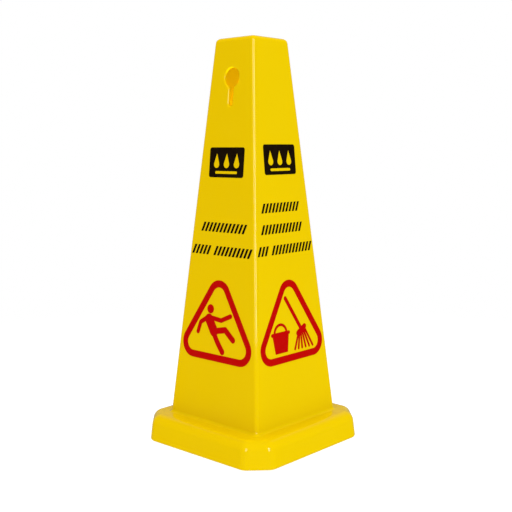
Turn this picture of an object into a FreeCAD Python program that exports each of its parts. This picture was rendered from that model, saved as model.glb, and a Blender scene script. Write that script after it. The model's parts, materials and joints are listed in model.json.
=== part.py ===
import FreeCAD, Part
import math
import os

from FreeCAD import Placement, Rotation, Vector

# A four-sided caution cone that stands on a wet floor: one hollow yellow moulding, open underneath so
# that cones stack, with a rubber ballast ring screwed up into its plinth through four rubber feet, and
# printed films on its four sides. Millimetres, +Z up, origin on the floor below the middle of the cone,
# front side facing -Y.

# Driving dimensions of the moulding.
foot_stand_off = 2.0
shell_height = 660.0
wall = 3.0
pyramid_foot_side = 205.3
pyramid_top_side = 84.0
pyramid_edge_radius = 6.0
pyramid_top_radius = 8.0
plinth_side = 277.8
plinth_height = 43.5
plinth_draft = math.radians(6.9)
plinth_corner_leg = 33.6
plinth_corner_radius = 18.0
plinth_shoulder_radius = 16.5
rim_edge_radius = 4.0
foot_blend_radius = 6.0
rim_thickness = 5.5
inner_corner_radius = 13.0

# Keyholes near the top of the front and back walls, for the links of a barrier chain.
keyhole_radius = 15.5
keyhole_height = 598.5
keyhole_slot_width = 9.0
keyhole_slot_end_height = 558.0
keyhole_blend_radius = 8.0
keyhole_collar_width = 3.0
keyhole_collar_depth = 4.0
keyhole_rim_radius = 3.0

# Ballast ring, feet and fasteners.
ballast_outer_side = 254.0
ballast_inner_side = 202.0
ballast_corner_leg = 26.0
ballast_inner_corner_radius = 10.0
ballast_edge_radius = 2.0
ballast_bottom = 16.0
ballast_thickness = 18.0
rib_bottom = 8.0
rib_thickness = 3.0
rib_spacing = 140.0
rib_clearance = 0.4
foot_centre = 107.0
foot_top_radius = 10.0
foot_bottom_radius = 9.0
foot_bottom_edge_radius = 1.0
foot_counterbore_radius = 6.3
foot_counterbore_depth = 8.0
boss_radius = 7.0
screw_hole_radius = 2.2
pilot_clearance = 0.05
screw_radius = 2.0
screw_head_radius = 4.0
screw_head_height = 2.6
screw_tip_length = 3.0
screw_recess_width = 0.9
screw_recess_length = 4.4
screw_recess_depth = 1.4
screw_end_gap = 1.0
washer_radius = 6.0
washer_thickness = 1.2

# Printed films. Heights are distances up the sloping face from the rim.
film = 0.2
triangle_top = 251.0
triangle_bottom = 169.5
triangle_half_width = 52.0
triangle_outer_radius = 25.0
triangle_stroke = 11.5
badge_width = 76.0
badge_height = 48.0
badge_corner_radius = 4.0
badge_front_height = 464.5
badge_side_height = 469.0
badge_drop_places = (-22.0, 0.0, 22.0)
badge_drop_radius = 6.0
badge_water_width = 4.4
stripe_height = 15.0
stripe_pitch = 8.2
stripe_bar_width = 4.6
stripe_slant = 6.5
figure_head_radius = 7.5
figure_body_width = 18.0
figure_arm_width = 7.5
figure_leg_width = 10.0
bucket_rim_width = 6.0
bucket_handle_radius = 17.0
bucket_handle_width = 4.5
mop_pole_width = 7.0
mop_clamp_width = 9.0
mop_strand_width = 4.2
mop_strands = 6

# Worked out from the above.
rim_z = foot_stand_off
top_z = rim_z + shell_height
ledge_z = rim_z + plinth_height
ceiling_z = ledge_z - wall
ballast_top = ballast_bottom + ballast_thickness
taper = math.atan((pyramid_foot_side - pyramid_top_side) / 2 / shell_height)
inner_shoulder_radius = plinth_shoulder_radius - wall - 1
corners = [(x, y) for x in (-foot_centre, foot_centre) for y in (-foot_centre, foot_centre)]
up = Vector(0, 0, 1)

# How far one shape runs past or into another where they are cut or fused, and how closely points agree.
overlap = 1.0
tolerance = 1e-3


def tapered_block(low_half, high_half, low_z, high_z):
    """Block whose square section changes from one half side to another between two heights."""
    low = (-low_half, low_z, -low_half, -high_half, -high_half)
    high = (low_half, high_z, low_half, high_half, high_half)
    block = Part.makeWedge(*low, *high)
    block.rotate(Vector(), Vector(1, 0, 0), 90)
    return block


def octagonal_block(low, high, low_z, high_z):
    """Block with cut corners. low and high hold the distances from the axis to a side and to a cut corner."""
    square = tapered_block(low[0], high[0], low_z, high_z)
    diamond = tapered_block(low[1], high[1], low_z, high_z)
    diamond.rotate(Vector(), up, 45)
    return square.common(diamond).Solids[0]


def rising_edges(solid):
    """Edges whose two ends are at different heights."""
    return [e for e in solid.Edges if abs(e.Vertexes[0].Z - e.Vertexes[-1].Z) > tolerance]


def level_edges(solid, z, reach=plinth_side):
    """Edges that lie at height z, with ends no further out than reach along X and Y."""
    ends = [(e, e.Vertexes[0].Point, e.Vertexes[-1].Point) for e in solid.Edges]
    return [e for e, *points in ends if all(is_level(p, z, reach) for p in points)]


def is_level(point, z, reach):
    """Whether a point is at height z and no further out than reach along X and Y."""
    return abs(point.z - z) < tolerance and max(abs(point.x), abs(point.y)) < reach


def fuse_all(shapes):
    """One shape from several, without the seams between them."""
    return shapes[0].multiFuse(shapes[1:]).removeSplitter()


def four_turns(shape):
    """The shape and its copies a quarter, a half and three quarters of a turn round the cone's axis."""
    turned = []
    for quarter in range(4):
        copy = shape.copy()
        copy.rotate(Vector(), up, 90 * quarter)
        turned.append(copy)
    return turned


def pyramid_half(z, inset):
    """Half the side of the pyramid at height z, its faces moved inwards by inset."""
    return pyramid_foot_side / 2 - (z - rim_z) * math.tan(taper) - inset / math.cos(taper)


def pyramid(low_z, high_z, inset, edge_radius, top_radius):
    """Pyramid body between two heights, with rounded rising edges and a rounded top edge."""
    solid = tapered_block(pyramid_half(low_z, inset), pyramid_half(high_z, inset), low_z, high_z)
    solid = solid.makeFillet(edge_radius, rising_edges(solid))
    return solid.makeFillet(top_radius, level_edges(solid, high_z))


def plinth_distances(z, inset):
    """Distances from the axis to a side and to a cut corner at height z, the faces moved inwards by inset."""
    move = (z - rim_z) * math.tan(plinth_draft) + inset / math.cos(plinth_draft)
    return plinth_side / 2 - move, (plinth_side - plinth_corner_leg) / math.sqrt(2) - move


def plinth(low_z, high_z, low_inset, high_inset, corner_radius):
    """Plinth body between two heights, with rounded rising edges."""
    low, high = plinth_distances(low_z, low_inset), plinth_distances(high_z, high_inset)
    solid = octagonal_block(low, high, low_z, high_z)
    return solid.makeFillet(corner_radius, rising_edges(solid))


def moulding_outside():
    """Everything that the moulding encloses, as one filled solid."""
    base = plinth(rim_z, ledge_z, 0, 0, plinth_corner_radius)
    base = base.makeFillet(plinth_shoulder_radius, level_edges(base, ledge_z))
    base = base.makeFillet(rim_edge_radius, level_edges(base, rim_z))
    body = fuse_all([base, pyramid(rim_z + wall, top_z, 0, pyramid_edge_radius, pyramid_top_radius)])
    return body.makeFillet(foot_blend_radius, level_edges(body, ledge_z, pyramid_half(ledge_z, -overlap)))


def moulding_cavity():
    """The hollow inside the moulding, from just below the rim, where the wall is thickest, to the top."""
    base = plinth(rim_z - overlap, ceiling_z, rim_thickness, wall, inner_corner_radius)
    base = base.makeFillet(inner_shoulder_radius, level_edges(base, ceiling_z))
    spire = pyramid(rim_z, top_z - wall, wall, pyramid_edge_radius - wall, pyramid_top_radius - wall)
    hollow = fuse_all([base, spire])
    foot = level_edges(hollow, ceiling_z, pyramid_half(ceiling_z, wall - overlap))
    return hollow.makeFillet(foot_blend_radius + wall, foot)


def keyhole_outline(grow):
    """Keyhole shape in the XZ plane: a circle that blends into a slot below it, widened by grow all round."""
    radius = keyhole_radius + grow
    half_slot = keyhole_slot_width / 2 + grow
    blend = keyhole_blend_radius - grow
    across = half_slot + blend
    blend_z = keyhole_height - math.sqrt((radius + blend) ** 2 - across**2)
    join = Vector(across, 0, blend_z - keyhole_height) * (radius / (radius + blend))
    middle = Vector(half_slot - across, 0, 0) + join + Vector(-across, 0, keyhole_height - blend_z)
    halfway = Vector(across, 0, blend_z) + middle.normalize() * blend
    join_x, join_z = join.x, join.z + keyhole_height

    def mirrored(point):
        return Vector(-point.x, 0, point.z)

    right_join = Vector(join_x, 0, join_z)
    slot_top = Vector(half_slot, 0, blend_z)
    slot_end = Vector(half_slot, 0, keyhole_slot_end_height)
    lowest = Vector(0, 0, keyhole_slot_end_height - half_slot)
    highest = Vector(0, 0, keyhole_height + radius)
    edges = [
        Part.Arc(mirrored(right_join), highest, right_join).toShape(),
        Part.Arc(right_join, halfway, slot_top).toShape(),
        Part.makeLine(slot_top, slot_end),
        Part.Arc(slot_end, lowest, mirrored(slot_end)).toShape(),
        Part.makeLine(mirrored(slot_end), mirrored(slot_top)),
        Part.Arc(mirrored(slot_top), mirrored(halfway), mirrored(right_join)).toShape(),
    ]
    return Part.Face(Part.Wire(edges))


def keyhole_cutter(grow):
    """The keyhole shape carried right through the cone from front to back."""
    shape = keyhole_outline(grow)
    shape.translate(Vector(0, -pyramid_foot_side / 2, 0))
    return shape.extrude(Vector(0, pyramid_foot_side, 0))


def keyhole_collars(outside):
    """Thickened walls round the two keyholes, inside the cone."""
    core = pyramid(ledge_z, top_z - wall, keyhole_collar_depth, keyhole_rim_radius, keyhole_rim_radius)
    return outside.cut(core).common(keyhole_cutter(keyhole_collar_width))


def screw_bosses():
    """Four posts that hang from the plinth's ceiling and take the screws."""
    height = ceiling_z + overlap - ballast_top
    return [Part.makeCylinder(boss_radius, height, Vector(x, y, ballast_top)) for x, y in corners]


def locating_ribs():
    """Upright ribs inside the plinth's sides that keep the ballast ring in the middle."""
    inner = ballast_outer_side / 2 + rib_clearance
    high_z = ledge_z - plinth_shoulder_radius
    skirt = plinth(rib_bottom, high_z, wall / 2, wall / 2, inner_corner_radius)
    size = (plinth_side / 2 - inner, rib_thickness, high_z - rib_bottom)
    ribs = []
    for along in (-rib_spacing / 2, rib_spacing / 2):
        rib = Part.makeBox(*size, Vector(inner, along - rib_thickness / 2, rib_bottom))
        ribs += four_turns(rib.common(skirt))
    return ribs


def cone_shell():
    """The hollow yellow moulding: pyramid, plinth, keyholes, screw bosses and locating ribs in one piece."""
    outside = moulding_outside()
    shell = outside.cut(moulding_cavity())
    shell = fuse_all([shell, keyhole_collars(outside)] + screw_bosses() + locating_ribs())
    shell = shell.cut(keyhole_cutter(0))
    shell = shell.makeFillet(keyhole_rim_radius, keyhole_rim_edges(shell))
    pilot_height = ceiling_z - ballast_top
    for x, y in corners:
        start = Vector(x, y, ballast_top - screw_end_gap)
        shell = shell.cut(Part.makeCylinder(screw_radius + pilot_clearance, pilot_height, start))
    return shell


def keyhole_rim_edges(shell):
    """Edges where the keyholes meet the outside of the front and back walls."""
    low = keyhole_slot_end_height - keyhole_slot_width
    high = keyhole_height + keyhole_radius + overlap
    found = []
    for edge in shell.Edges:
        middle = edge.valueAt((edge.FirstParameter + edge.LastParameter) / 2)
        on_face = abs(abs(middle.y) - pyramid_half(middle.z, 0)) < tolerance
        if on_face and low < middle.z < high and abs(middle.x) < keyhole_radius + overlap:
            found.append(edge)
    return found


def ballast_ring():
    """Square rubber ring with cut corners and four screw holes, held up in the plinth."""
    distances = (ballast_outer_side / 2, (ballast_outer_side - ballast_corner_leg) / math.sqrt(2))
    block = octagonal_block(distances, distances, ballast_bottom, ballast_top)
    block = block.makeFillet(ballast_inner_corner_radius, rising_edges(block))
    corner = Vector(-ballast_inner_side / 2, -ballast_inner_side / 2, ballast_bottom)
    window = Part.makeBox(ballast_inner_side, ballast_inner_side, ballast_thickness, corner)
    window = window.makeFillet(ballast_inner_corner_radius, rising_edges(window))
    ring = block.cut(window)
    rims = level_edges(ring, ballast_bottom) + level_edges(ring, ballast_top)
    ring = ring.makeFillet(ballast_edge_radius, rims)
    for x, y in corners:
        ring = ring.cut(Part.makeCylinder(screw_hole_radius, ballast_thickness, Vector(x, y, ballast_bottom)))
    return ring


def rubber_foot(x, y):
    """Tapered rubber foot with a counterbore that hides the screw's head."""
    foot = Part.makeCone(foot_bottom_radius, foot_top_radius, ballast_bottom, Vector(x, y, 0))
    foot = foot.makeFillet(foot_bottom_edge_radius, level_edges(foot, 0))
    foot = foot.cut(Part.makeCylinder(foot_counterbore_radius, foot_counterbore_depth, Vector(x, y, 0)))
    return foot.cut(Part.makeCylinder(screw_hole_radius, ballast_bottom, Vector(x, y, 0)))


def washer(x, y):
    """Plain washer at the bottom of a foot's counterbore."""
    start = Vector(x, y, foot_counterbore_depth - washer_thickness)
    disc = Part.makeCylinder(washer_radius, washer_thickness, start)
    return disc.cut(Part.makeCylinder(screw_hole_radius, washer_thickness, start))


def screw(x, y):
    """Pan-head screw with a cross recess, head down, that clamps a foot and the ballast ring to a boss."""
    head_top = foot_counterbore_depth - washer_thickness
    head_bottom = head_top - screw_head_height
    shank_end = ceiling_z - 2 * screw_end_gap
    head = Part.makeCylinder(screw_head_radius, screw_head_height, Vector(x, y, head_bottom))
    head = head.makeFillet(screw_head_height / 2, level_edges(head, head_bottom))
    long, short = screw_recess_length, screw_recess_width
    recess = [
        Part.makeBox(a, b, screw_recess_depth, Vector(x - a / 2, y - b / 2, head_bottom))
        for a, b in ((long, short), (short, long))
    ]
    shank = Part.makeCylinder(screw_radius, shank_end - screw_tip_length - head_top, Vector(x, y, head_top))
    tip_start = Vector(x, y, shank_end - screw_tip_length)
    tip = Part.makeCone(screw_radius, screw_radius / 2, screw_tip_length, tip_start)
    return fuse_all([head.cut(recess), shank, tip])


def sheet(outline):
    """Film as thick as a print, from a closed outline in the XY plane."""
    return Part.Face(outline).extrude(Vector(0, 0, film))


def bar(start, end, width):
    """Film strip with round ends between two points."""
    start, end = Vector(*start), Vector(*end)
    along = (end - start).normalize() * (width / 2)
    across = Vector(-along.y, along.x)
    edges = [
        Part.makeLine(start + across, end + across),
        Part.Arc(end + across, end + along, end - across).toShape(),
        Part.makeLine(end - across, start - across),
        Part.Arc(start - across, start - along, start + across).toShape(),
    ]
    return sheet(Part.Wire(edges))


def bent_bar(points, width):
    """Film strip with round ends and joints that runs through several points."""
    return fuse_all([bar(a, b, width) for a, b in zip(points, points[1:])])


def disc(centre, radius):
    """Round film."""
    return sheet(Part.Wire(Part.makeCircle(radius, Vector(*centre))))


def patch(points):
    """Film with straight edges."""
    return sheet(Part.makePolygon([Vector(*p) for p in points + points[:1]]))


def rounded_patch(points, radius):
    """Film with straight edges, widened by radius all round, which rounds its corners."""
    outline = Part.makePolygon([Vector(*p) for p in points + points[:1]])
    return sheet(outline.makeOffset2D(radius))


def droplet(x, y, radius):
    """Water drop: a round belly that runs up to a point three radii above its centre."""
    lean = math.asin(1 / 3)
    side_x = radius * math.cos(lean)
    side_y = y + radius * math.sin(lean)
    tip = Vector(x, y + 3 * radius)
    right = Vector(x + side_x, side_y)
    left = Vector(x - side_x, side_y)
    edges = [
        Part.makeLine(tip, right),
        Part.Arc(right, Vector(x, y - radius), left).toShape(),
        Part.makeLine(left, tip),
    ]
    return sheet(Part.Wire(edges))


def triangle_drawing():
    """Rounded warning triangle, as a ring."""
    below = [(x, triangle_bottom) for x in (-triangle_half_width, triangle_half_width)]
    points = [(0, triangle_top)] + below
    outer = rounded_patch(points, triangle_outer_radius)
    return outer.cut(rounded_patch(points, triangle_outer_radius - triangle_stroke))


def badge_drawing(height):
    """Plain rounded tile with three drops and a line of water cut out of it."""
    half_width = badge_width / 2 - badge_corner_radius
    half_height = badge_height / 2 - badge_corner_radius
    points = [(x * half_width, height + y * half_height) for x, y in ((1, -1), (1, 1), (-1, 1), (-1, -1))]
    tile = rounded_patch(points, badge_corner_radius)
    drops = [droplet(x, height - badge_drop_radius / 2, badge_drop_radius) for x in badge_drop_places]
    water_height = height - badge_height / 3
    ends = [(x, water_height) for x in (min(badge_drop_places), max(badge_drop_places))]
    water = bar(*ends, badge_water_width)
    return tile.cut(drops + [water])


def stripes_drawing(centre, height, counts):
    """Groups of slanting bars along one line. counts holds the number of bars in each group."""
    low, high = height - stripe_height / 2, height + stripe_height / 2
    places = sum(counts) + len(counts) - 1
    start = centre - ((places - 1) * stripe_pitch + stripe_bar_width + stripe_slant) / 2
    bars = []
    for count in counts:
        for n in range(count):
            left = start + n * stripe_pitch
            right = left + stripe_bar_width
            top_left, top_right = left + stripe_slant, right + stripe_slant
            bars.append(patch([(left, low), (right, low), (top_right, high), (top_left, high)]))
        start += (count + 1) * stripe_pitch
    return Part.makeCompound(bars)


def slip_figure_drawing():
    """Plain figure whose feet slide away to the right."""
    head, neck, hip = (-17, 228), (-19, 211), (-7, 193)
    left_arm = [(-24, 213), (-38, 204), (-43, 188)]
    right_arm = [(-14, 214), (8, 212), (28, 221)]
    left_leg = [(-8, 191), (3, 175), (14, 162)]
    right_leg = [(-6, 193), (18, 198), (36, 184)]
    body = [bar(neck, hip, figure_body_width)]
    body += [bent_bar(arm, figure_arm_width) for arm in (left_arm, right_arm)]
    body += [bent_bar(leg, figure_leg_width) for leg in (left_leg, right_leg)]
    return Part.makeCompound([disc(head, figure_head_radius), fuse_all(body)])


def bucket_drawing():
    """Bucket seen from the side, with a raised handle."""
    middle, bottom, rim_height = -27, 161, 192
    half_bottom, half_top = 15, 20
    below = [(middle - half_bottom, bottom), (middle + half_bottom, bottom)]
    above = [(middle + half_top, rim_height), (middle - half_top, rim_height)]
    rim = bar(*above, bucket_rim_width)
    hoop = disc((middle, rim_height), bucket_handle_radius)
    hoop = hoop.cut(disc((middle, rim_height), bucket_handle_radius - bucket_handle_width))
    lower_half = [(middle - half_top, bottom), (middle + half_top, bottom)] + above
    return fuse_all([patch(below + above), rim, hoop.cut(patch(lower_half))])


def mop_drawing():
    """Mop whose handle leans to the left, with a fan of strands."""
    pole = bar((-10, 247), (25, 192), mop_pole_width)
    clamp = bar((16, 187), (33, 196), mop_clamp_width)
    strands = []
    for n in range(mop_strands):
        share = n / (mop_strands - 1)
        strands.append(bar((17 + 15 * share, 187 + 8 * share), (6 + 45 * share, 162), mop_strand_width))
    return fuse_all([pole, clamp] + strands)


def film_on_side(drawing, side):
    """Film laid on one sloping side of the pyramid: 0 front, 1 right, 2 back, 3 left."""
    film_sheet = drawing.copy()
    lean_back = Rotation(Vector(1, 0, 0), 90 - math.degrees(taper))
    film_sheet.Placement = Placement(Vector(0, -pyramid_foot_side / 2, rim_z), lean_back)
    film_sheet.rotate(Vector(), up, 90 * side)
    return film_sheet


def films():
    """Printed films of all four sides by node name. Opposite sides carry the same prints."""
    wet_floor = {
        "badge_print": badge_drawing(badge_front_height),
        "upper_stripes": stripes_drawing(2, 360.5, [12]),
        "lower_stripes": stripes_drawing(0, 323, [5, 10]),
        "triangle_print": triangle_drawing(),
        "slip_figure_print": slip_figure_drawing(),
    }
    cleaning = {
        "badge_print": badge_drawing(badge_side_height),
        "upper_stripes": stripes_drawing(-6, 393, [11]),
        "middle_stripes": stripes_drawing(-6, 359.5, [12]),
        "lower_stripes": stripes_drawing(-1, 326, [3, 12]),
        "triangle_print": triangle_drawing(),
        "bucket_print": bucket_drawing(),
        "mop_print": mop_drawing(),
    }
    made = {}
    for side, (name, prints) in enumerate(
        [("front", wet_floor), ("right", cleaning), ("back", wet_floor), ("left", cleaning)]
    ):
        for part, drawing in prints.items():
            made[f"{name}_{part}"] = film_on_side(drawing, side)
    return made


def pieces():
    """Every separate piece by node name."""
    made = {
        "cone_shell": cone_shell(),
        "ballast_ring": ballast_ring(),
        "foot_screws": Part.makeCompound([screw(x, y) for x, y in corners]),
        "foot_washers": Part.makeCompound([washer(x, y) for x, y in corners]),
    }
    for x, y in corners:
        place = ("front" if y < 0 else "back") + ("_left" if x < 0 else "_right")
        made["foot_" + place] = rubber_foot(x, y)
    made.update(films())
    return made


os.makedirs("parts", exist_ok=True)
for node, shape in pieces().items():
    shape.exportStep(f"parts/{node}.step")
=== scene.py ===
import json
import math

import bmesh
import bpy
from mathutils import Matrix, Vector
from mathutils.bvhtree import BVHTree


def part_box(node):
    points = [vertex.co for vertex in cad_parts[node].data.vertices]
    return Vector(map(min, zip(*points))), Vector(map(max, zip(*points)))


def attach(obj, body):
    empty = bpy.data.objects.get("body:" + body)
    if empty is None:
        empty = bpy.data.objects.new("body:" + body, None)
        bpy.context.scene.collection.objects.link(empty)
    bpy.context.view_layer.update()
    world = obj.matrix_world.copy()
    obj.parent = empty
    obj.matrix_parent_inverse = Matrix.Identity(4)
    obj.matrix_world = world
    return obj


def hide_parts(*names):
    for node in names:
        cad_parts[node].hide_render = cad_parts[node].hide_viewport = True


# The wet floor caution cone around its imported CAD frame: a finely meshed yellow moulding in place of the
# CAD shell, node materials on every piece, and a plain pale studio. Metres, +Z up, front side facing -Y.

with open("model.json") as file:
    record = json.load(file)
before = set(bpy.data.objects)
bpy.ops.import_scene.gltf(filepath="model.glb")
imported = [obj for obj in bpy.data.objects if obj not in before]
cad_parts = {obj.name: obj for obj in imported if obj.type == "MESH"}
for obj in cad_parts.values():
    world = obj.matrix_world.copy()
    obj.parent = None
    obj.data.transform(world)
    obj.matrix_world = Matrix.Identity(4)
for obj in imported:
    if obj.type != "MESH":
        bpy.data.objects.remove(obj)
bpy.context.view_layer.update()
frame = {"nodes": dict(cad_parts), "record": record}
nodes = frame["nodes"]

# Radii and wall of the moulding, which the frame's boxes don't give.
pyramid_edge_radius = 0.006
pyramid_top_radius = 0.008
plinth_corner_radius = 0.018
plinth_shoulder_radius = 0.0165
rim_edge_radius = 0.004
foot_blend_radius = 0.006
wall = 0.003
inner_corner_radius = 0.013
inner_shoulder_radius = 0.0125
top_bend_tightening = 0.8

# Steps of the bends, the distances at which points merge and count as one place, and the angle from which
# an edge stays crisp.
arc_steps = 7
keyhole_circle_steps = 44
keyhole_blend_steps = 8
keyhole_slot_steps = 20
keyhole_edge_steps = 4
post_steps = 32
merge_distance = 1e-7
same_place = 1e-6
crisp_angle = math.radians(35)

# Keyhole: a circle blended into a slot below it, with a rounded rim outside and a collar inside.
keyhole_slot_width = 0.009
keyhole_slot_drop = 0.0405
keyhole_blend_radius = 0.008
keyhole_collar_width = 0.003
keyhole_collar_depth = 0.004
keyhole_rim_radius = 0.003
keyhole_inner_radius = 0.0007

# Posts and ribs inside the plinth.
boss_radius = 0.007
pilot_radius = 0.00205
rib_thickness = 0.003
rib_spacing = 0.140
rib_bottom = 0.008
rib_clearance = 0.0004
overlap = 0.0008


def add_object(name, data):
    """Object in the scene that shows a mesh, a light or a camera."""
    added = bpy.data.objects.new(name, data)
    bpy.context.scene.collection.objects.link(added)
    return added


def new_object(name, mesh_builder):
    """Object in the scene whose mesh is what mesh_builder leaves in an empty bmesh."""
    bm = bmesh.new()
    mesh_builder(bm)
    mesh = bpy.data.meshes.new(name)
    bm.to_mesh(mesh)
    bm.free()
    return add_object(name, mesh)


# --- What the CAD shell measures -----------------------------------------------------------------------

shell_tree = BVHTree.FromObject(nodes["cone_shell"], bpy.context.evaluated_depsgraph_get())
shell_low, shell_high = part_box("cone_shell")
ring_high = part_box("ballast_ring")[1]
keyhole = next(m for m in frame["record"]["mounts"] if m["name"] == "keyhole_front")
keyhole_height = keyhole["pos_m"][2]
keyhole_radius = keyhole["dims"]["r_mm"] / 1000
sideways = Vector((1, 0, 0))
diagonal = Vector((1, 1, 0)).normalized()


def distance_out(direction, z, from_inside=False):
    """Distance from the axis to the CAD shell's outer or inner surface at height z, in a level direction."""
    start = Vector((0, 0, z)) if from_inside else direction + Vector((0, 0, z))
    heading = direction if from_inside else -direction
    return shell_tree.ray_cast(start, heading)[0].xy.length


def level_at(x):
    """Height of the CAD shell's upper surface at a place on its right side."""
    return shell_tree.ray_cast(Vector((x, 0, 1)), Vector((0, 0, -1)))[0].z


class Wall:
    """Straight wall line: distance from the axis as a function of height, from two measured heights."""

    def __init__(self, direction, low, high, from_inside=False):
        foot, top = (distance_out(direction, z, from_inside) for z in (low, high))
        self.slope = (foot - top) / (high - low)
        self.base = foot + low * self.slope
        self.angle = math.atan(self.slope)

    def at(self, z):
        """Distance from the axis at height z."""
        return self.base - z * self.slope


# Levels of the shell. The pyramid's foot is measured a little above the plinth.
rim_z = shell_low.z
top_z = shell_high.z
above_plinth = 0.06
ledge_x = (distance_out(sideways, above_plinth) + shell_high.x - plinth_shoulder_radius) / 2
ledge_z = level_at(ledge_x)
ceiling_z = ledge_z - wall
plinth_low = rim_z + rim_edge_radius
plinth_high = ledge_z - plinth_shoulder_radius
pyramid_low = ledge_z + 2 * foot_blend_radius
pyramid_high = top_z - 2 * pyramid_top_radius


# --- Shell ---------------------------------------------------------------------------------------------


def arc(start, end, steps=arc_steps):
    """Angles from start to end, both included."""
    return [start + (end - start) * n / steps for n in range(steps + 1)]


def level_ring(side, corner, radius, z):
    """Level ring of points round the axis: four sides and four cut corners, with rounded bends.

    side and corner are the distances from the axis to a side and to a cut corner.
    """
    middle = (corner - radius) * math.sqrt(2) - (side - radius)
    points = []
    for quarter in range(4):
        turn = Matrix.Rotation(math.radians(90 * quarter), 3, "Z")
        for sign, start in ((-1, -math.pi / 4), (1, 0)):
            for angle in arc(start, start + math.pi / 4):
                x = side - radius + radius * math.cos(angle)
                y = sign * middle + radius * math.sin(angle)
                points.append(turn @ Vector((x, y, z)))
    return points


def square_corner(side, radius):
    """Distance from the axis at which a cut corner vanishes into one rounded corner."""
    return (side - radius) * math.sqrt(2) + radius


def plinth_rings(side, corner, radius, blend, centre_z, angles):
    """Rings of a rounded edge of the plinth's wall, over the angles of its bend round a centre."""
    centre = side.at(centre_z) - blend / math.cos(side.angle)
    rings = []
    for angle in angles:
        z = centre_z + blend * math.sin(angle)
        inset = side.at(z) - (centre + blend * math.cos(angle))
        rings.append((side.at(z) - inset, corner.at(z) - inset, radius - inset, z))
    return rings


def rim_rings(side, corner, radius, blend):
    """Rings of the rounded edge between the rim's underside and the plinth's wall."""
    return plinth_rings(side, corner, radius, blend, rim_z + blend, arc(-math.pi / 2, side.angle))


def shoulder_rings(side, corner, radius, blend, level):
    """Rings of the rounded shoulder between the plinth's wall and the level above it."""
    return plinth_rings(side, corner, radius, blend, level - blend, arc(side.angle, math.pi / 2))


def foot_rings(side, radius, blend, level):
    """Rings of the hollow blend from a level up into the pyramid's wall."""
    centre_z = level + blend
    centre = side.at(centre_z) + blend / math.cos(side.angle)
    rings = []
    for angle in arc(-math.pi / 2, side.angle - math.pi):
        z = centre_z + blend * math.sin(angle)
        x = centre + blend * math.cos(angle)
        bend = radius + x - side.at(z)
        rings.append((x, square_corner(x, bend), bend, z))
    return rings


def top_rings(side, radius, blend, level):
    """Rings of the rounded edge between the pyramid's wall and its top. Their bends tighten inwards."""
    centre_z = level - blend
    centre = side.at(centre_z) - blend / math.cos(side.angle)
    rings = []
    for angle in arc(side.angle, math.pi / 2):
        z = centre_z + blend * math.sin(angle)
        x = centre + blend * math.cos(angle)
        bend = radius * (1 - top_bend_tightening * (side.at(z) - x) / blend)
        rings.append((x, square_corner(x, bend), bend, z))
    return rings


def keyhole_outline(grow):
    """Points (x, z) of the keyhole's outline, widened by grow all round."""
    across = keyhole_slot_width / 2 + keyhole_blend_radius
    reach = keyhole_radius + keyhole_blend_radius
    drop = math.sqrt(reach**2 - across**2)
    join = math.atan2(drop, across)
    blend_z = keyhole_height - drop
    blend = keyhole_blend_radius - grow
    slot = keyhole_slot_width / 2 + grow
    bends = [
        (0, keyhole_height, keyhole_radius + grow, arc(-join, math.pi + join, keyhole_circle_steps)),
        (-across, blend_z, blend, arc(join, 0, keyhole_blend_steps)),
        (0, keyhole_height - keyhole_slot_drop, slot, arc(math.pi, 2 * math.pi, keyhole_slot_steps)),
        (across, blend_z, blend, arc(math.pi, math.pi - join, keyhole_blend_steps)),
    ]
    points = [(x + r * math.cos(a), z + r * math.sin(a)) for x, z, r, angles in bends for a in angles]
    return [p for p, q in zip(points, points[1:] + points[:1]) if math.dist(p, q) > same_place]


def keyhole_sections():
    """Pairs (grow, depth) from the wall's surface, round the rim, through the hole and round its collar."""
    rim, inner = keyhole_rim_radius, keyhole_inner_radius
    sections = [(rim * (1 - math.sin(a)), rim * (1 - math.cos(a))) for a in arc(0, math.pi / 2)]
    floor = keyhole_collar_depth - inner
    edge = keyhole_collar_width - inner
    angles = arc(0, math.pi / 2, keyhole_edge_steps)
    sections += [(inner * (1 - math.cos(a)), floor + inner * math.sin(a)) for a in angles]
    sections += [(edge + inner * math.sin(a), floor + inner * math.cos(a)) for a in angles]
    return sections


def quads(near, far):
    """Corners of the quads between two closed loops with the same number of points."""
    return [list(corners) for corners in zip(near, near[1:] + near[:1], far[1:] + far[:1], far)]


def join_loops(bm, near, far):
    """Band of quads between two closed loops."""
    for corners in quads(near, far):
        bm.faces.new(corners)


def loft(bm, rings, open_stage):
    """Skin of quads over a list of rings.

    On the open stage the faces that look along Y are left out and their corners returned as gaps.
    """
    loops = [[bm.verts.new(p) for p in level_ring(*ring)] for ring in rings]
    gaps = []
    for stage, (low, high) in enumerate(zip(loops, loops[1:])):
        for corners in quads(low, high):
            middle = sum((v.co for v in corners), Vector()) / 4
            if stage == open_stage and abs(middle.x) < same_place:
                gaps.append(corners)
            else:
                bm.faces.new(corners)
    return loops, gaps


def loop_edges(bm, verts):
    """Edges that join the points of a closed loop, made where they are missing."""
    pairs = zip(verts, verts[1:] + verts[:1])
    return [bm.edges.get(pair) or bm.edges.new(pair) for pair in pairs]


def pierce(bm, outer_gap, inner_gap):
    """Closes the outer and inner wall round a keyhole and joins them by the keyhole's own surface."""
    side = Wall(sideways, pyramid_low, pyramid_high)
    facing = math.copysign(1, outer_gap[0].co.y)
    loops = []
    for grow, depth in keyhole_sections() + [(keyhole_collar_width, wall / math.cos(side.angle))]:
        points = [(x, facing * (side.at(z) - depth), z) for x, z in keyhole_outline(grow)]
        loops.append([bm.verts.new(p) for p in points])
    for near, far in zip(loops, loops[1:]):
        join_loops(bm, near, far)
    for gap, loop in ((outer_gap, loops[0]), (inner_gap, loops[-1])):
        edges = loop_edges(bm, gap) + loop_edges(bm, loop)
        bmesh.ops.triangle_fill(bm, edges=edges, use_beauty=True, use_dissolve=False)


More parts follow.
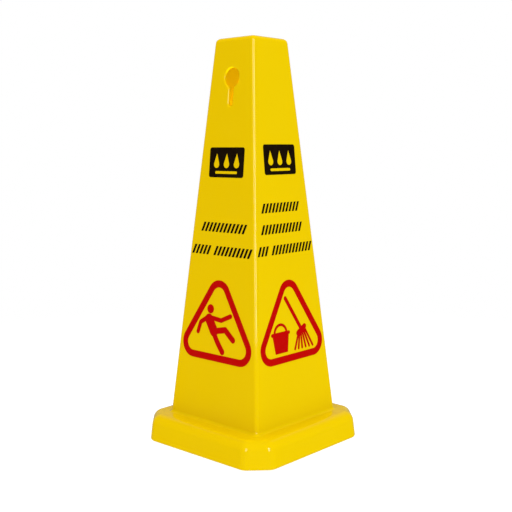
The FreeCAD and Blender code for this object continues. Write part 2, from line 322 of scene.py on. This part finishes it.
def outer_rings():
    """Rings of the outer skin upwards, and the index of the one where the pyramid's plain wall starts."""
    side = Wall(sideways, plinth_low, plinth_high)
    corner = Wall(diagonal, plinth_low, plinth_high)
    pyramid = Wall(sideways, pyramid_low, pyramid_high)
    rings = rim_rings(side, corner, plinth_corner_radius, rim_edge_radius)
    rings += shoulder_rings(side, corner, plinth_corner_radius, plinth_shoulder_radius, ledge_z)
    rings += foot_rings(pyramid, pyramid_edge_radius, foot_blend_radius, ledge_z)
    wall_start = len(rings) - 1
    rings += top_rings(pyramid, pyramid_edge_radius, pyramid_top_radius, top_z)
    return rings, wall_start


def inner_rings():
    """Rings of the inner skin upwards, and the index of the one where the pyramid's plain wall starts."""
    side = Wall(sideways, plinth_low, plinth_high, from_inside=True)
    corner = Wall(diagonal, plinth_low, plinth_high, from_inside=True)
    pyramid = Wall(sideways, pyramid_low, pyramid_high, from_inside=True)
    edge_radius = pyramid_edge_radius - wall
    rings = [(side.at(rim_z), corner.at(rim_z), inner_corner_radius, rim_z)]
    rings += shoulder_rings(side, corner, inner_corner_radius, inner_shoulder_radius, ceiling_z)
    rings += foot_rings(pyramid, edge_radius, foot_blend_radius + wall, ceiling_z)
    wall_start = len(rings) - 1
    rings += top_rings(pyramid, edge_radius, pyramid_top_radius - wall, top_z - wall)
    return rings, wall_start


def shell_mesh(bm):
    """The moulding's outer and inner skins, joined at the rim and at the keyholes."""
    outer_loops, outer_gaps = loft(bm, *outer_rings())
    inner_loops, inner_gaps = loft(bm, *inner_rings())
    bm.faces.new(outer_loops[-1])
    bm.faces.new(inner_loops[-1])
    join_loops(bm, outer_loops[0], inner_loops[0])
    for outer_gap, inner_gap in zip(outer_gaps, inner_gaps):
        pierce(bm, outer_gap, inner_gap)
    bmesh.ops.remove_doubles(bm, verts=bm.verts, dist=merge_distance)
    bmesh.ops.dissolve_degenerate(bm, dist=merge_distance, edges=bm.edges)
    bmesh.ops.recalc_face_normals(bm, faces=bm.faces)


def boss_mesh(bm, x, y):
    """Post that hangs from the plinth's ceiling, with a blind screw hole from below."""
    profile = [
        (0, ceiling_z - overlap),
        (pilot_radius, ceiling_z - overlap),
        (pilot_radius, ring_high.z),
        (boss_radius, ring_high.z),
        (boss_radius, ceiling_z + overlap),
        (0, ceiling_z + overlap),
    ]
    verts = [bm.verts.new((x + r, y, z)) for r, z in profile]
    edges = [bm.edges.new(pair) for pair in zip(verts, verts[1:])]
    turn = {"cent": (x, y, 0), "axis": (0, 0, 1), "angle": 2 * math.pi, "steps": post_steps}
    bmesh.ops.spin(bm, geom=verts + edges, **turn)


def rib_mesh(bm, side, along, turn):
    """Upright rib from inside the plinth's wall to just short of the ballast ring."""
    inner = ring_high.x + rib_clearance
    near, far = along - rib_thickness / 2, along + rib_thickness / 2
    corners = []
    for z in (rib_bottom, plinth_high):
        outer = side.at(z) + overlap
        flat = ((inner, near), (outer, near), (outer, far), (inner, far))
        corners += [bm.verts.new(turn @ Vector((x, y, z))) for x, y in flat]
    low, high = corners[:4], corners[4:]
    bm.faces.new(low)
    bm.faces.new(high)
    join_loops(bm, low, high)


def fittings_mesh(bm):
    """Screw posts and ribs inside the plinth."""
    inner_side = Wall(sideways, plinth_low, plinth_high, from_inside=True)
    for node in ("foot_front_left", "foot_front_right", "foot_back_left", "foot_back_right"):
        low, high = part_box(node)
        boss_mesh(bm, (low.x + high.x) / 2, (low.y + high.y) / 2)
    for quarter in range(4):
        turn = Matrix.Rotation(math.radians(90 * quarter), 3, "Z")
        for along in (-rib_spacing / 2, rib_spacing / 2):
            rib_mesh(bm, inner_side, along, turn)
    bmesh.ops.remove_doubles(bm, verts=bm.verts, dist=same_place)
    bmesh.ops.recalc_face_normals(bm, faces=bm.faces)


def mark_sharp(mesh, angle):
    """Smooth shading, with edges sharper than the angle kept crisp."""
    bm = bmesh.new()
    bm.from_mesh(mesh)
    for face in bm.faces:
        face.smooth = True
    for edge in bm.edges:
        edge.smooth = edge.calc_face_angle(0) < angle
    bm.to_mesh(mesh)
    bm.free()


def yellow_moulding():
    """The finely meshed moulding that stands for the CAD shell."""
    shell = new_object("yellow_moulding", shell_mesh)
    fittings = new_object("fittings", fittings_mesh)
    union = shell.modifiers.new("fittings", "BOOLEAN")
    union.operation = "UNION"
    union.solver = "EXACT"
    union.object = fittings
    evaluated = shell.evaluated_get(bpy.context.evaluated_depsgraph_get())
    shell.data = bpy.data.meshes.new_from_object(evaluated)
    shell.modifiers.clear()
    bpy.data.objects.remove(fittings)
    mark_sharp(shell.data, crisp_angle)
    shell.modifiers.new("even shading", "WEIGHTED_NORMAL").keep_sharp = True
    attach(shell, "root")
    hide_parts("cone_shell")
    return shell


# --- Materials -----------------------------------------------------------------------------------------

# Shades between which each finish varies.
yellow_shades = ((0.795, 0.522, 0.0008, 1), (0.780, 0.512, 0.0007, 1))
rubbed_yellow = (0.84, 0.64, 0.03, 1)
black_shades = ((0.007, 0.003, 0.001, 1), (0.012, 0.007, 0.003, 1))
red_shades = ((0.50, 0.0008, 0.0003, 1), (0.46, 0.0012, 0.0004, 1))
crumb_rubber_shades = ((0.012, 0.012, 0.012, 1), (0.05, 0.05, 0.048, 1))
foot_rubber_shades = ((0.018, 0.018, 0.018, 1), (0.04, 0.04, 0.04, 1))
zinc_shades = ((0.60, 0.60, 0.62, 1), (0.46, 0.47, 0.50, 1))

# Width of the rubbed edges, and the size and height of the rubbers' grain.
rubbed_width = 0.0012
crumb_rubber_grain = (0.003, 0.0003)
foot_rubber_grain = (0.0012, 0.00006)

# Range that soft noise keeps to, and how alike the rounded and actual normals are, from an even surface to
# a sharp edge.
noise_range = {"From Min": 0.25, "From Max": 0.75}
edge_range = {"From Min": 0.995, "From Max": 0.9}


def node(tree, kind, inputs=None, **settings):
    """Shader node with its settings, and its inputs set to values or linked to other nodes' outputs."""
    made = tree.nodes.new("ShaderNode" + kind)
    for name, value in settings.items():
        setattr(made, name, value)
    for name, value in (inputs or {}).items():
        if isinstance(value, bpy.types.NodeSocket):
            tree.links.new(value, made.inputs[name])
        else:
            made.inputs[name].default_value = value
    return made


def new_material(name):
    """Empty node material, its tree and its object coordinates in metres."""
    made = bpy.data.materials.new(name)
    made.use_nodes = True
    made.node_tree.nodes.clear()
    place = node(made.node_tree, "TexCoord").outputs["Object"]
    return made, made.node_tree, place


def noise(tree, place, size, detail=2.0):
    """Soft noise about 0.5 whose patches are about size metres wide."""
    return node(tree, "TexNoise", {"Vector": place, "Scale": 1 / size, "Detail": detail}).outputs["Fac"]


def varied(tree, place, size, low, high, detail=2.0):
    """Noise that fills the range from low to high."""
    spread = {"Value": noise(tree, place, size, detail), "To Min": low, "To Max": high, **noise_range}
    return node(tree, "MapRange", spread).outputs["Result"]


def blend_colours(tree, factor, first, second):
    """Colour between two colours."""
    return node(tree, "MixRGB", {"Fac": factor, "Color1": first, "Color2": second}).outputs["Color"]


def bump(tree, height, distance, normal=None):
    """Normal of a surface that rises by distance where height goes from 0 to 1."""
    inputs = {"Height": height, "Distance": distance, "Strength": 1.0}
    if normal is not None:
        inputs["Normal"] = normal
    return node(tree, "Bump", inputs).outputs["Normal"]


def edge_mask(tree, radius):
    """1 on edges sharper than the radius, 0 on even surfaces."""
    rounded = node(tree, "Bevel", {"Radius": radius}, samples=6).outputs["Normal"]
    actual = node(tree, "NewGeometry").outputs["Normal"]
    alike = node(tree, "VectorMath", {0: rounded, 1: actual}, operation="DOT_PRODUCT").outputs["Value"]
    spread = {"Value": alike, "To Min": 0.0, "To Max": 1.0, **edge_range}
    return node(tree, "MapRange", spread).outputs["Result"]


def principled(tree, **inputs):
    """Principled surface joined to the material's output. Names in inputs have _ for spaces."""
    named = {name.replace("_", " "): value for name, value in inputs.items()}
    surface = node(tree, "BsdfPrincipled", named).outputs["BSDF"]
    node(tree, "OutputMaterial", {"Surface": surface})


def multiply(tree, first, second):
    """Product of two values."""
    return node(tree, "Math", {0: first, 1: second}, operation="MULTIPLY").outputs["Value"]


def yellow_plastic():
    """Glossy moulded plastic: faint mottling, orange peel, soft waviness and lightly rubbed edges."""
    made, tree, place = new_material("moulded_yellow")
    mottled = blend_colours(tree, varied(tree, place, size=0.12, low=0, high=1), *yellow_shades)
    patches = varied(tree, place, size=0.006, low=0, high=0.25, detail=4)
    rub = multiply(tree, edge_mask(tree, rubbed_width), patches)
    colour = blend_colours(tree, rub, mottled, rubbed_yellow)
    peel = bump(tree, noise(tree, place, size=0.0025, detail=1), distance=0.000008)
    surface = bump(tree, noise(tree, place, size=0.06, detail=1), distance=0.0003, normal=peel)
    roughness = varied(tree, place, size=0.04, low=0.04, high=0.08, detail=4)
    principled(tree, Base_Color=colour, Roughness=roughness, Normal=surface)
    return made


def print_film(name, shades):
    """Thin transfer film: even ink with faint mottling and a slightly softer shine."""
    made, tree, place = new_material(name)
    colour = blend_colours(tree, varied(tree, place, size=0.02, low=0, high=1, detail=4), *shades)
    surface = bump(tree, noise(tree, place, size=0.0012), distance=0.00001)
    roughness = varied(tree, place, size=0.012, low=0.08, high=0.14, detail=4)
    principled(tree, Base_Color=colour, Roughness=roughness, Normal=surface)
    return made


def pressed_rubber(name, grain, shades):
    """Rubber with a grain of pressed crumbs."""
    made, tree, place = new_material(name)
    size, relief = grain
    crumbs = node(tree, "TexVoronoi", {"Vector": place, "Scale": 1 / size}).outputs["Distance"]
    shade = multiply(tree, crumbs, varied(tree, place, size=0.02, low=0, high=1, detail=3))
    colour = blend_colours(tree, shade, *shades)
    surface = bump(tree, crumbs, distance=relief)
    roughness = varied(tree, place, size=0.01, low=0.7, high=0.9, detail=3)
    principled(tree, Base_Color=colour, Roughness=roughness, Normal=surface)
    return made


def zinc_plate():
    """Zinc-plated steel with soft spangle."""
    made, tree, place = new_material("zinc_plated_steel")
    colour = blend_colours(tree, varied(tree, place, size=0.002, low=0, high=1, detail=3), *zinc_shades)
    surface = bump(tree, noise(tree, place, size=0.0004), distance=0.00001)
    roughness = varied(tree, place, size=0.001, low=0.28, high=0.45, detail=3)
    principled(tree, Base_Color=colour, Metallic=1.0, Roughness=roughness, Normal=surface)
    return made


def finish_pieces(shell):
    """Gives the shell and every CAD node its material, by the record's material slots."""
    finishes = {
        "yellow_shell": yellow_plastic(),
        "black_print": print_film("black_film", black_shades),
        "red_print": print_film("red_film", red_shades),
        "ballast_rubber": pressed_rubber("ballast_crumb_rubber", crumb_rubber_grain, crumb_rubber_shades),
        "foot_rubber": pressed_rubber("foot_rubber", foot_rubber_grain, foot_rubber_shades),
        "fastener_steel": zinc_plate(),
    }
    shell.data.materials.clear()
    shell.data.materials.append(finishes["yellow_shell"])
    for row in frame["record"]["subparts"]:
        mesh = nodes[row["node"]].data
        mesh.materials.clear()
        mesh.materials.append(finishes[row["material_slot"]])


# --- Studio --------------------------------------------------------------------------------------------

# Camera: where it stands round the cone, which way it looks, and its lens and sensor in millimetres.
camera_azimuth = math.radians(42.551)
camera_distance = 1.4525
camera_height = 0.4902
camera_aim = math.radians(42.317)
camera_tilt = math.radians(7.115)
camera_roll = math.radians(-0.157)
camera_lens = 61.87
camera_sensor = 36.0

# Softboxes: azimuth and elevation in degrees, distance, size, power, colour and whether it is mirrored.
# A mirrored one shows only in reflections, any other one only lights the surfaces.
softboxes = {
    "key": (75, 8, 5.0, (2.4, 2.4), 67, (0.68, 1.0, 0.68), False),
    "overhead": (42.5, 80, 3.0, (2.0, 2.0), 45, (1.0, 1.0, 1.0), False),
    "left_strip": (28, 13.5, 3.0, (1.0, 1.55), 15.5, (1.0, 1.0, 1.0), True),
    "right_strip": (64, 13.5, 3.0, (1.0, 1.55), 29, (1.0, 1.0, 1.0), True),
}

# Glow inside the cone.
glow_power = 8.8
glow_colour = (0.62, 1.0, 0.02)
glow_height = 0.2 * top_z
glow_softness = 0.02

# Greys of the backdrop: seen by the camera, lighting the surfaces, and mirrored right behind the cone. The
# last one fades to black where the ray turns away from that direction, by the cosine of its turn.
camera_white = (1.0, 1.0, 1.0, 1)
lighting_grey = (0.82, 0.82, 0.82, 1)
mirrored_grey = 0.25
mirrored_fade = {"From Min": 0.35, "From Max": 0.8}

# Floor: its two paints and their share close to the cone, its glow there, and the radii over which the
# glow and the paint's share fade.
floor_radius = 30.0
floor_shades = ((0.93, 0.93, 0.93, 1), (0.92, 0.92, 0.92, 1))
paint_share = 0.25
paint_fade = {"From Min": 0.1, "From Max": 0.5}
floor_glow = 1.3
glow_fade = {"From Min": 0.2, "From Max": 1.2}


def round_the_cone(azimuth, elevation, distance):
    """Place seen from the cone at an azimuth, from its front side towards its right, and an elevation."""
    level = distance * math.cos(elevation)
    rise = distance * math.sin(elevation)
    return Vector((level * math.sin(azimuth), -level * math.cos(azimuth), rise))


def main_camera():
    """Camera that looks at the cone's front right edge, from a little above its middle."""
    data = bpy.data.cameras.new("camera")
    data.lens = camera_lens
    data.sensor_width = camera_sensor
    camera = add_object("camera", data)
    back = round_the_cone(camera_aim, camera_tilt, 1)
    level = Vector((math.cos(camera_aim), math.sin(camera_aim), 0))
    right = Matrix.Rotation(camera_roll, 3, back) @ level
    up = back.cross(right)
    rotation = Matrix((right, up, back)).transposed()
    place = round_the_cone(camera_azimuth, 0, camera_distance) + Vector((0, 0, camera_height))
    camera.matrix_world = Matrix.Translation(place) @ rotation.to_4x4()
    bpy.context.scene.camera = camera


def softbox(name, azimuth, elevation, distance, size, power, colour, mirrored):
    """Rectangular light that looks at the cone's middle."""
    data = bpy.data.lights.new(name, "AREA")
    data.shape = "RECTANGLE"
    data.size, data.size_y = size
    data.energy = power
    data.color = colour
    light = add_object(name, data)
    out = round_the_cone(math.radians(azimuth), math.radians(elevation), distance)
    light.location = Vector((0, 0, top_z / 2)) + out
    light.rotation_mode = "QUATERNION"
    light.rotation_quaternion = out.to_track_quat("Z", "Y")
    light.visible_glossy = mirrored
    light.visible_diffuse = not mirrored
    light.visible_camera = False


def inner_glow():
    """Soft light inside the cone, for the daylight that its thin walls let through."""
    data = bpy.data.lights.new("inner_glow", "POINT")
    data.energy = glow_power
    data.color = glow_colour
    data.shadow_soft_size = glow_softness
    light = add_object("inner_glow", data)
    light.location = (0, 0, glow_height)
    light.visible_glossy = False
    light.visible_camera = False


def studio_world():
    """Backdrop: white to the camera, pale as a light, and dark in reflections but for its far side."""
    world = bpy.data.worlds.new("studio")
    world.use_nodes = True
    bpy.context.scene.world = world
    world.cycles.sampling_method = "NONE"
    tree = world.node_tree
    tree.nodes.clear()
    heading = node(tree, "TexCoord").outputs["Generated"]
    away = tuple(-x for x in round_the_cone(camera_aim, 0, 1))
    behind = node(tree, "VectorMath", {0: heading, 1: away}, operation="DOT_PRODUCT").outputs["Value"]
    spread = {"Value": behind, "To Min": 0.0, "To Max": mirrored_grey, **mirrored_fade}
    reflected = node(tree, "MapRange", spread, interpolation_type="SMOOTHSTEP").outputs["Result"]
    ray = node(tree, "LightPath").outputs
    unseen = blend_colours(tree, ray["Is Glossy Ray"], lighting_grey, reflected)
    seen = blend_colours(tree, ray["Is Camera Ray"], unseen, camera_white)
    light = node(tree, "Background", {"Color": seen, "Strength": 1.0}).outputs["Background"]
    node(tree, "OutputWorld", {"Surface": light})


def floor_material():
    """Pale glowing floor that fades into the white backdrop further out and isn't seen in reflections."""
    made, tree, place = new_material("pale_floor")
    made.cycles.emission_sampling = "NONE"
    paint = blend_colours(tree, varied(tree, place, size=0.3, low=0, high=1), *floor_shades)
    matt = node(tree, "BsdfDiffuse", {"Color": paint}).outputs["BSDF"]
    out = node(tree, "VectorMath", {0: place}, operation="LENGTH").outputs["Value"]
    fade = {"Value": out, "To Min": floor_glow, "To Max": 1.0, **glow_fade}
    strength = node(tree, "MapRange", fade).outputs["Result"]
    white = node(tree, "Emission", {"Color": camera_white, "Strength": strength}).outputs["Emission"]
    spread = {"Value": out, "To Min": 1 - paint_share, "To Max": 1.0, **paint_fade}
    far = node(tree, "MapRange", spread, interpolation_type="SMOOTHSTEP").outputs["Result"]
    surface = node(tree, "MixShader", {0: far, 1: matt, 2: white}).outputs["Shader"]
    clear = node(tree, "BsdfTransparent").outputs["BSDF"]
    ray = node(tree, "LightPath").outputs
    shown = node(tree, "MixShader", {0: ray["Is Glossy Ray"], 1: surface, 2: clear}).outputs["Shader"]
    node(tree, "OutputMaterial", {"Surface": shown})
    return made


def floor_mesh(bm):
    """Round floor."""
    bmesh.ops.create_circle(bm, cap_ends=True, radius=floor_radius, segments=64)


def build_studio():
    """Floor, backdrop, lights and camera."""
    floor = new_object("floor", floor_mesh)
    floor.data.materials.append(floor_material())
    studio_world()
    for name, settings in softboxes.items():
        softbox(name, *settings)
    inner_glow()
    main_camera()
    bpy.context.scene.view_settings.view_transform = "Standard"
    bpy.context.scene.view_settings.look = "None"


shell = yellow_moulding()
finish_pieces(shell)
build_studio()
